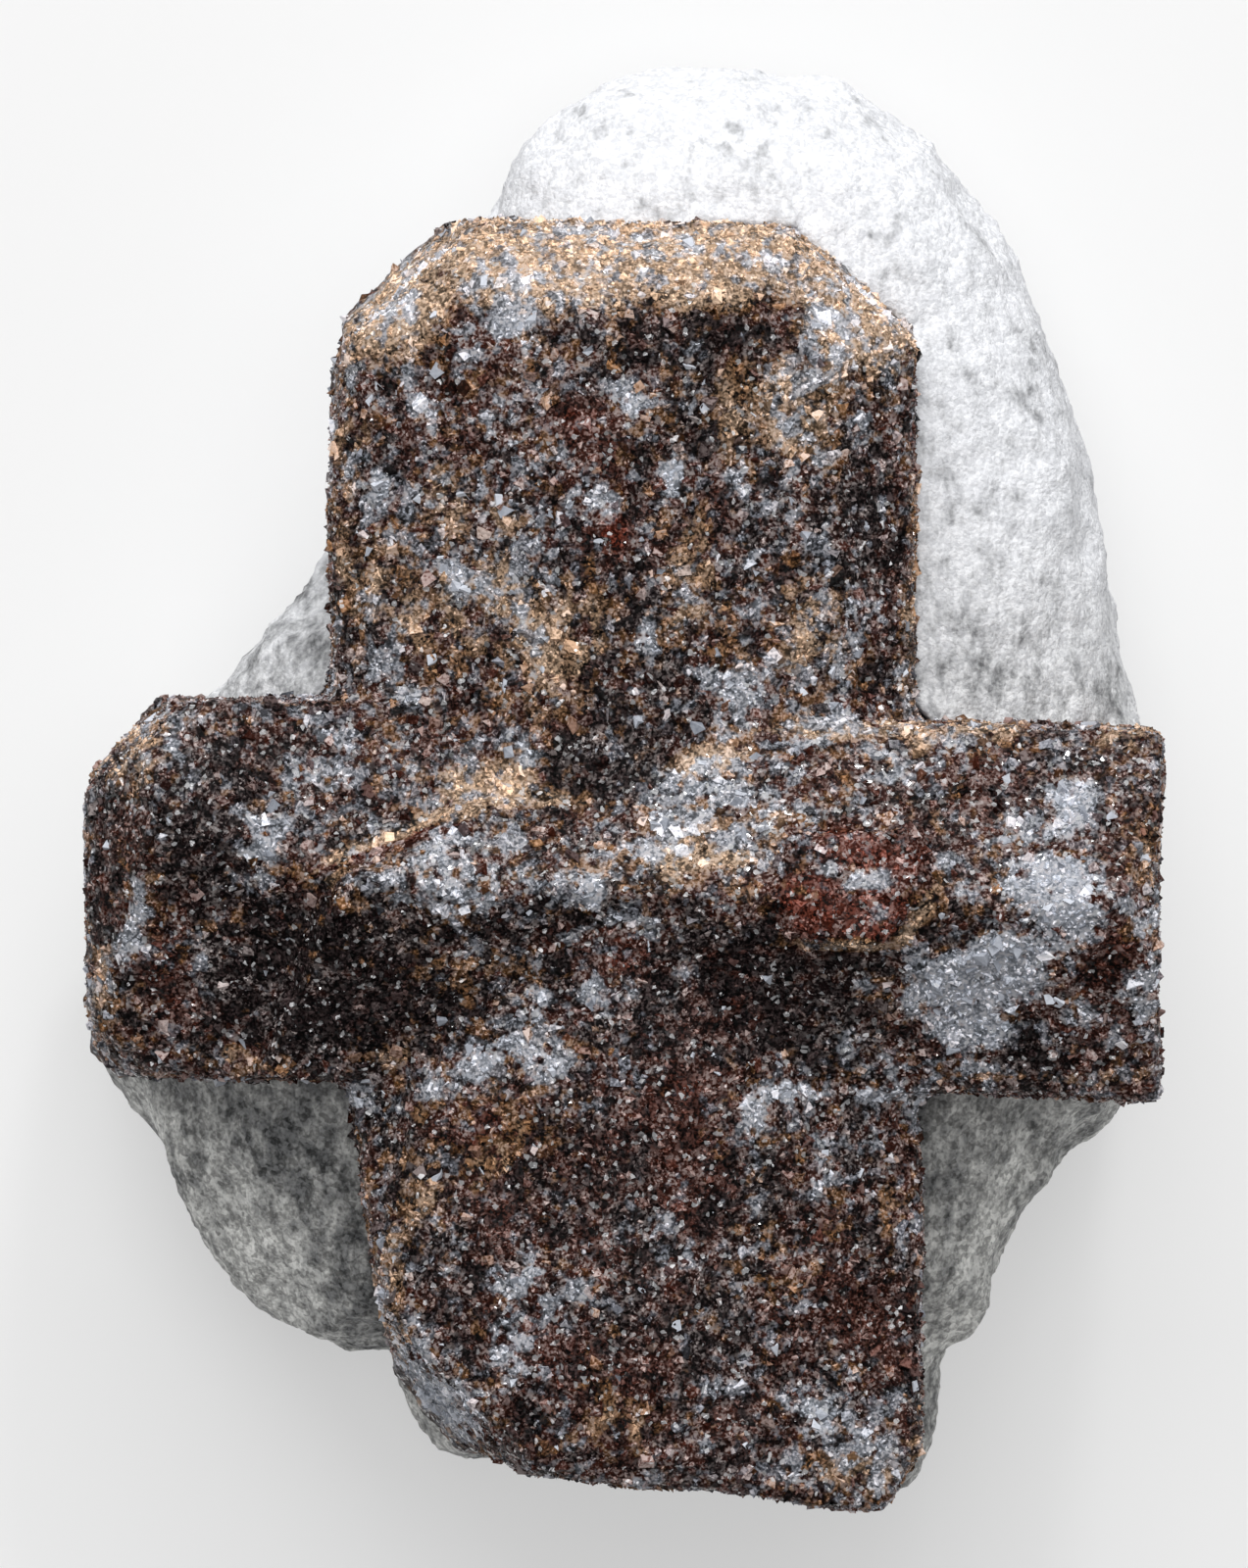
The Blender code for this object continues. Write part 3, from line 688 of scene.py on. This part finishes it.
def crust_group():
    """The sugary crust's colour, with painted highlights and painted glints in it, its roughness, coat
    glints and height. Seat is where a grain takes its stain from, Pick and Tone are its own chances, Own
    is how far
    Pick alone lights it, and Light how bright it is in all, which darkens the skin as painted shade."""
    tree, given, result = shader_group(
        "crust",
        (
            ("Place", "NodeSocketVector", None),
            ("Seat", "NodeSocketVector", None),
            ("Pick", "NodeSocketFloat", 0.5),
            ("Tone", "NodeSocketFloat", 0.5),
            ("Own", "NodeSocketFloat", 0.0),
            ("Light", "NodeSocketFloat", 1.0),
        ),
        (
            ("Colour", "NodeSocketColor"),
            ("Roughness", "NodeSocketFloat"),
            ("Glint", "NodeSocketFloat"),
            ("Body", "NodeSocketFloat"),
        ),
    )
    place, pick, tone = (given.outputs[name] for name in ("Place", "Pick", "Tone"))
    ground = {stain[0]: mark_in_finish(tree, stain[0] + "_ground") for stain in STAINS}
    fine_pick, fine_tone, body = grain(tree, place, FINE_GRAIN)
    flat = stretched(tree, given.outputs["Seat"], LUMP_STRETCH)
    lump = clouds(tree, flat, BROAD_LUMP)
    close = clouds(tree, flat, CLOSE_LUMP)
    sugar = clouds(tree, place, SUGAR_LUMP)
    quartz_sum = weighed(tree, (ground["quartz"], 1.0), (lump[0], 0.38), (close[0], 0.23), (pick, 0.04))
    ochre_sum = weighed(tree, (ground["ochre"], 1.0), (lump[1], 0.38), (close[1], 0.20), (tone, 0.04))
    red_sum = weighed(tree, (ground["red"], 1.0), (lump[2], 0.34), (close[2], 0.20), (tone, -0.08))
    quartz = soft_step(tree, quartz_sum, *QUARTZ_SPANS[0])
    ochre = soft_step(tree, ochre_sum, *OCHRE_SPANS[0])
    red = soft_step(tree, red_sum, *RUST_SPANS[0])
    shared = weighed(tree, (fine_tone, 0.3), (pick, 0.25), (sugar[2], 0.45))
    own = put(tree, "ShaderNodeMix", {0: given.outputs["Own"], 2: shared, 3: pick}).outputs[0]
    spark = soft_step(tree, own, 0.19, 0.74)
    murk_sum = weighed(tree, (lump[2], 0.5), (close[1], 0.2), (ground["quartz"], 1.0))
    murk = soft_step(tree, murk_sum, 0.30, 0.90)
    sandy = blended(tree, soft_step(tree, ground["ochre"], *OCHRE_SPANS[1]), *OCHRE)
    glassy = blended(tree, soft_step(tree, ground["quartz"], *QUARTZ_SPANS[1]), *QUARTZ)
    rusty = blended(tree, soft_step(tree, ground["red"], *RUST_SPANS[1]), *RUST)
    mixed = STAUROLITE
    for share, stain in ((red, rusty), (ochre, sandy), (quartz, glassy)):
        mixed = blended(tree, maths(tree, "MULTIPLY", share, STAIN_COVER), mixed, stain)
    bleached = soft_step(tree, ground["ochre"], *BLEACHED_SPAN)
    frosted = soft_step(tree, ground["quartz"], *FROSTED_SPAN)
    calm = maths(tree, "MULTIPLY_ADD", frosted, -0.45, 1.0)
    facets = maths(tree, "MULTIPLY", maths(tree, "POWER", spark, 1.5), calm)
    veined = maths(tree, "MULTIPLY", frosted, weighed(tree, (lump[1], 0.5), (close[2], 0.5)))
    shade = weighed(tree, (facets, 1.0), (murk, 0.34), (bleached, 0.28), (veined, 0.72))
    mixed = scaled(tree, mixed, shade)
    # Painted highlights: the brightest grains are mixed toward near-white, and a few fine grains are
    # painted white as glints.
    bright = maths(tree, "MULTIPLY_ADD", murk, 0.48, 0.045)
    painted_sparkle = maths(tree, "MULTIPLY", maths(tree, "POWER", spark, 4.0), bright)
    mixed = blended(tree, painted_sparkle, mixed, PAINTED_SPARKLE)
    painted_glint = soft_step(tree, fine_pick, *PAINTED_GLINT_SPAN)
    mixed = blended(tree, maths(tree, "MULTIPLY", painted_glint, 0.6), mixed, PAINTED_GLINT)
    lit = scaled(tree, mixed, given.outputs["Light"])
    rough = maths(tree, "MULTIPLY_ADD", fine_tone, 0.2, 0.45)
    glint = soft_step(tree, fine_pick, *GLINT_SPAN)
    for name, value in (("Colour", lit), ("Roughness", rough), ("Glint", glint), ("Body", body)):
        tree.links.new(value, result.inputs[name])
    return tree


CRUST = crust_group()


def staurolite_finish(name, own=None):
    """The crust's finish. A crumb brings its own pick, tone and seat; the skin takes its grains'."""
    made, tree, shader = new_finish(name)
    place = put(tree, "ShaderNodeTexCoord").outputs["Object"]
    if own is None:
        pick, tone, skin_body = grain(tree, place, SKIN_GRAIN)
        inputs = {"Place": place, "Seat": place, "Pick": pick, "Tone": tone, "Light": SKIN_SHADED_SHARE}
    else:
        pick, tone = (mark_in_finish(tree, chance) for chance in ("pick", "tone"))
        seat = mark_in_finish(tree, "seat", "Vector")
        inputs = {"Place": place, "Seat": seat, "Pick": pick, "Tone": tone, "Own": own}
    crust = put(tree, "ShaderNodeGroup", inputs, node_tree=CRUST).outputs
    tree.links.new(crust["Colour"], shader.inputs["Base Color"])
    tree.links.new(crust["Roughness"], shader.inputs["Roughness"])
    tree.links.new(crust["Glint"], shader.inputs["Coat Weight"])
    shader.inputs["Specular IOR Level"].default_value = CRUST_GLOSS
    shader.inputs["Coat Roughness"].default_value = GLINT_ROUGHNESS
    height = skin_body if own is None else crust["Body"]
    inputs = {"Strength": BUMP_STRENGTH, "Distance": CRUST_BUMP, "Height": height}
    bump = put(tree, "ShaderNodeBump", inputs)
    tree.links.new(bump.outputs[0], shader.inputs["Normal"])
    return made


cross = merged_copy("staurolite_twin", "staurolite_skin")
resurface(cross, STAUROLITE_VOXEL, STAUROLITE_SMOOTHING)
paint(cross.data, "quartz", QUARTZ_PATCHES, PATCH_LOWEST)
paint(cross.data, "ochre", OCHRE_PATCHES, PATCH_LOWEST)
paint(cross.data, "red", RED_PATCHES, PATCH_LOWEST)
paint(cross.data, "dark", DARK_AND_SHADE_PATCHES, PATCH_LOWEST)
paint(cross.data, "along_bar", BAR_SPAN, 0.0)
CROSS_FINISH = staurolite_finish("staurolite_skin")
grow(cross, ground_tree(), {"Material": CROSS_FINISH})
grow(cross, RELIEF, {
    "Wave": 0.9 * MM, "Wave height": 0.16 * MM, "Knock": 0.42 * MM, "Knock height": 0.20 * MM,
    "Grain": 0.20 * MM, "Grain height": 0.08 * MM, "Stretch": 1.0, "Material": CROSS_FINISH,
})
set_places(cross.data, places(cross.data))
cross.data.shade_smooth()
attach(cross, "root")
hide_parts("staurolite_twin")
bpy.data.objects.remove(crystal_form, do_unlink=True)


# The sugar of the crust: angular crumbs of staurolite, quartz and stained grains that stand half out of
# the crystal's skin and are part of it. Each takes its colour from the patch it sits in, but for the
# glassy quartz grains, which are clear or frosted by themselves.
BLOCK_OWN = 0.30
CRUMB_OWN = 0.12
BLOCK_FINISH = staurolite_finish("staurolite_block", BLOCK_OWN)
CRUMB_FINISH = staurolite_finish("staurolite_crumb", CRUMB_OWN)
# Clear quartz shows the dark crystal below it, and frosted quartz is pale.
QUARTZ_GRAIN = ((0.15, 0.165, 0.20), (0.68, 0.71, 0.78))
QUARTZ_ROUGHNESS = 0.35
QUARTZ_GLOSS = 0.35
FROST_SIZE = 0.06 * MM


def quartz_finish():
    """Glassy blue-white quartz, some grains clearer and darker than others."""
    made, tree, shader = new_finish("quartz_grain")
    place = put(tree, "ShaderNodeTexCoord").outputs["Object"]
    pick = mark_in_finish(tree, "pick")
    frost = weighed(tree, (pick, 0.75), (mottle(tree, place, FROST_SIZE, 4.0), 0.25))
    tree.links.new(blended(tree, frost, *QUARTZ_GRAIN), shader.inputs["Base Color"])
    shader.inputs["Roughness"].default_value = QUARTZ_ROUGHNESS
    shader.inputs["Specular IOR Level"].default_value = QUARTZ_GLOSS
    return made


QUARTZ_FINISH = quartz_finish()


# A crumb is turned at random, and made between the thinnest and thickest of these shares of its width on
# each side. Noise of the flaw scale knocks its corners about, in proportion to its width.
FULL_TURN = (6.3, 6.3, 6.3)
THINNEST = (0.55, 0.55, 0.55)
THICKEST = (1.2, 1.2, 1.2)
FLAW_SCALE = 16000.0
FLAW_SHARE = 1.3
# The crumbs that quartz patches have more of come in over this span of their mottled strength.
QUARTZ_RICH_SPAN = (0.46, 0.64)


def roll(tree, seed):
    """A random number from 0 to 1 for each crumb."""
    inputs = {2: 0.0, 3: 1.0, "Seed": seed}
    return put(tree, "FunctionNodeRandomValue", inputs, data_type="FLOAT").outputs[1]


def roll_three(tree, lowest, highest, seed):
    """Three random numbers for each crumb."""
    inputs = {0: lowest, 1: highest, "Seed": seed}
    return put(tree, "FunctionNodeRandomValue", inputs, data_type="FLOAT_VECTOR").outputs[0]


def crumb_tree():
    """Strews angular crumbs over a skin. Each has a random turn, size, shape, pick and tone."""
    inputs = (
        ("Density", "NodeSocketFloat", 2.0e7),
        ("Everywhere", "NodeSocketFloat", 1.0),
        ("In quartz", "NodeSocketFloat", 0.0),
        ("Smallest", "NodeSocketFloat", 0.06 * MM),
        ("Largest", "NodeSocketFloat", 0.16 * MM),
        ("Sink", "NodeSocketFloat", 0.02 * MM),
        ("Lowest", "NodeSocketFloat", 3.0 * MM),
        ("Blocky", "NodeSocketBool", True),
        ("Seed", "NodeSocketInt", 1),
        ("Material", "NodeSocketMaterial", None),
    )
    tree, given, result = geometry_group("crumbs", inputs)
    place = put(tree, "GeometryNodeInputPosition").outputs[0]
    height = put(tree, "ShaderNodeSeparateXYZ", {0: place}).outputs[2]
    heights = {0: height, 1: given.outputs["Lowest"]}
    above = put(tree, "FunctionNodeCompare", heights, operation="GREATER_THAN")
    rich = soft_step(tree, mark_in_tree(tree, "quartz_ground"), *QUARTZ_RICH_SPAN)
    share = maths(tree, "MULTIPLY_ADD", rich, given.outputs["In quartz"], given.outputs["Everywhere"])
    density = maths(tree, "MULTIPLY", share, given.outputs["Density"])
    strewn = put(
        tree,
        "GeometryNodeDistributePointsOnFaces",
        {
            "Mesh": given.outputs[0],
            "Selection": above.outputs[0],
            "Density": density,
            "Seed": given.outputs["Seed"],
        },
        distribute_method="RANDOM",
    )
    few_large = maths(tree, "POWER", roll(tree, 9), 2.0)
    span = maths(tree, "SUBTRACT", given.outputs["Largest"], given.outputs["Smallest"])
    size = maths(tree, "MULTIPLY_ADD", few_large, span, given.outputs["Smallest"])
    down = maths(tree, "MULTIPLY", given.outputs["Sink"], -1.0)
    sunk = scaled(tree, strewn.outputs["Normal"], down)
    points = put(tree, "GeometryNodeSetPosition", {"Geometry": strewn.outputs["Points"], "Offset": sunk})
    sized = leave_mark(tree, points.outputs[0], "width", size)
    width = mark_in_tree(tree, "width")
    block = put(tree, "GeometryNodeMeshCube", {"Size": (1.0, 1.0, 1.0)})
    splinter = put(tree, "GeometryNodeMeshUVSphere", {"Segments": 4, "Rings": 2, "Radius": 0.75})
    chip = put(
        tree,
        "GeometryNodeSwitch",
        {"Switch": given.outputs["Blocky"], "False": splinter.outputs[0], "True": block.outputs[0]},
        input_type="GEOMETRY",
    )
    turn = roll_three(tree, (0.0, 0.0, 0.0), FULL_TURN, 0)
    shape = roll_three(tree, THINNEST, THICKEST, 4)
    crumbs = put(
        tree,
        "GeometryNodeInstanceOnPoints",
        {
            "Points": sized,
            "Instance": chip.outputs[0],
            "Rotation": turn,
            "Scale": scaled(tree, shape, width),
        },
    ).outputs[0]
    crumbs = leave_mark(tree, crumbs, "pick", roll(tree, 21), domain="INSTANCE")
    crumbs = leave_mark(tree, crumbs, "tone", roll(tree, 22), domain="INSTANCE")
    crumbs = leave_mark(tree, crumbs, "seat", place, kind="FLOAT_VECTOR", domain="INSTANCE")
    apart = put(tree, "GeometryNodeRealizeInstances", {0: crumbs}).outputs[0]
    noise = put(tree, "ShaderNodeTexNoise", {"Vector": place, "Scale": FLAW_SCALE, "Detail": 0.0})
    middle = {0: noise.outputs[1], 1: (0.5, 0.5, 0.5)}
    flaws = put(tree, "ShaderNodeVectorMath", middle, operation="SUBTRACT").outputs[0]
    dent = scaled(tree, flaws, maths(tree, "MULTIPLY", width, FLAW_SHARE))
    dented = put(tree, "GeometryNodeSetPosition", {"Geometry": apart, "Offset": dent}).outputs[0]
    finish_tree(tree, result, dented, given.outputs["Material"])
    return tree


CRUMBS = crumb_tree()
# Each kind's name, finish and tree inputs. Density is in crumbs per square metre.
CRUMB_KINDS = (
    ("quartz_grains", QUARTZ_FINISH, {
        "Density": 4.0e7, "Everywhere": 0.025, "In quartz": 1.0, "Smallest": 0.07 * MM,
        "Largest": 0.18 * MM, "Sink": 0.045 * MM, "Lowest": 5.5 * MM, "Blocky": True, "Seed": 23}),
    ("coarse_crumbs", BLOCK_FINISH, {
        "Density": 1.8e7, "Smallest": 0.07 * MM, "Largest": 0.19 * MM, "Sink": 0.045 * MM,
        "Lowest": 5.0 * MM, "Blocky": True, "Seed": 3}),
    ("medium_crumbs", CRUMB_FINISH, {
        "Density": 4.3e7, "Smallest": 0.045 * MM, "Largest": 0.11 * MM, "Sink": 0.020 * MM,
        "Lowest": 6.4 * MM, "Blocky": False, "Seed": 5}),
    ("fine_crumbs", CRUMB_FINISH, {
        "Density": 4.8e7, "Smallest": 0.035 * MM, "Largest": 0.075 * MM, "Sink": 0.006 * MM,
        "Lowest": 8.0 * MM, "Blocky": False, "Seed": 8}),
    ("sugar_crumbs", CRUMB_FINISH, {
        "Density": 3.2e7, "Smallest": 0.04 * MM, "Largest": 0.07 * MM, "Sink": 0.006 * MM,
        "Lowest": 8.0 * MM, "Blocky": False, "Seed": 12}),
)
for name, finish, values in CRUMB_KINDS:
    crumbs = bpy.data.objects.new(name, cross.data.copy())
    bpy.context.scene.collection.objects.link(crumbs)
    grow(crumbs, CRUMBS, {**values, "Material": finish})
    set_places(crumbs.data, places(crumbs.data))
    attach(crumbs, "root")
    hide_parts("staurolite_twin")


# The shelf: a plain pale sheet under soft studio light from above, with the camera straight above the
# cross.
# The sheet glows a little, painted light that lifts the shadow the cross casts on it.
SHEET_HALF = 1.5
SHEET_SHADES = ((0.43, 0.43, 0.43), (0.45, 0.45, 0.45))
SHEET_ROUGHNESS = 0.8
SHEET_GLOSS = 0.2
# Painted light: the sheet's own glow, which lightens the cross's shadow on it.
SHEET_PAINTED_GLOW = 0.42
SHEET_CLOUD = 30.0 * MM
# Each light's name, place, the point that it faces, its width (metres) and its power (watts).
SOFTBOXES = (
    ("key_light", (-0.03, 0.30, 0.26), (0.0, 0.0, 0.008), 0.40, 1.35),
    ("glint_light", (0.06, 0.32, 0.30), (0.0, 0.0, 0.008), 0.05, 0.30),
    ("front_light", (0.02, 0.05, 0.50), (0.0, 0.0, 0.0), 0.30, 0.80),
)
ROOM_LIGHT = 0.25
SENSOR = 36.0
# The view is as tall as the picture, 1600 pixels at 60 to the millimetre, at the height of the cross.
CROSS_HEIGHT = 11.0 * MM
VIEW_DISTANCE = 300.0 * MM
VIEW_TALL = 1600 / 60 * MM
VIEW_CENTRE = (0.0, -0.02 * MM)


def shelf_finish():
    made, tree, shader = new_finish("pale_shelf")
    place = put(tree, "ShaderNodeTexCoord").outputs["Object"]
    cloud = mottle(tree, place, SHEET_CLOUD, 2.0)
    tree.links.new(blended(tree, cloud, *SHEET_SHADES), shader.inputs["Base Color"])
    shader.inputs["Roughness"].default_value = SHEET_ROUGHNESS
    shader.inputs["Specular IOR Level"].default_value = SHEET_GLOSS
    # The glow is painted light that lightens the shadow on the sheet.
    shader.inputs["Emission Color"].default_value = (1.0, 1.0, 1.0, 1.0)
    shader.inputs["Emission Strength"].default_value = SHEET_PAINTED_GLOW
    return made


floor_mesh = bpy.data.meshes.new("shelf")
bm = bmesh.new()
bmesh.ops.create_grid(bm, x_segments=1, y_segments=1, size=SHEET_HALF)
bm.to_mesh(floor_mesh)
bm.free()
floor_mesh.materials.append(shelf_finish())
floor = bpy.data.objects.new("shelf", floor_mesh)
bpy.context.scene.collection.objects.link(floor)

for name, place, aim, width, power in SOFTBOXES:
    light = bpy.data.lights.new(name, "AREA")
    light.shape = "DISK"
    light.size = width
    light.energy = power
    softbox = bpy.data.objects.new(name, light)
    softbox.location = place
    softbox.rotation_euler = (Vector(place) - Vector(aim)).to_track_quat("Z", "Y").to_euler()
    softbox.visible_camera = False
    bpy.context.scene.collection.objects.link(softbox)
world = bpy.data.worlds.new("studio")
bpy.context.scene.world = world
world.use_nodes = True
background = world.node_tree.nodes["Background"]
background.inputs["Color"].default_value = (1.0, 1.0, 1.0, 1.0)
background.inputs["Strength"].default_value = ROOM_LIGHT
bpy.context.scene.view_settings.view_transform = "Standard"

camera_data = bpy.data.cameras.new("camera")
camera_data.sensor_width = SENSOR
camera_data.lens = SENSOR * VIEW_DISTANCE / VIEW_TALL
camera = bpy.data.objects.new("camera", camera_data)
camera.location = (*VIEW_CENTRE, CROSS_HEIGHT + VIEW_DISTANCE)
bpy.context.scene.collection.objects.link(camera)
bpy.context.scene.camera = camera
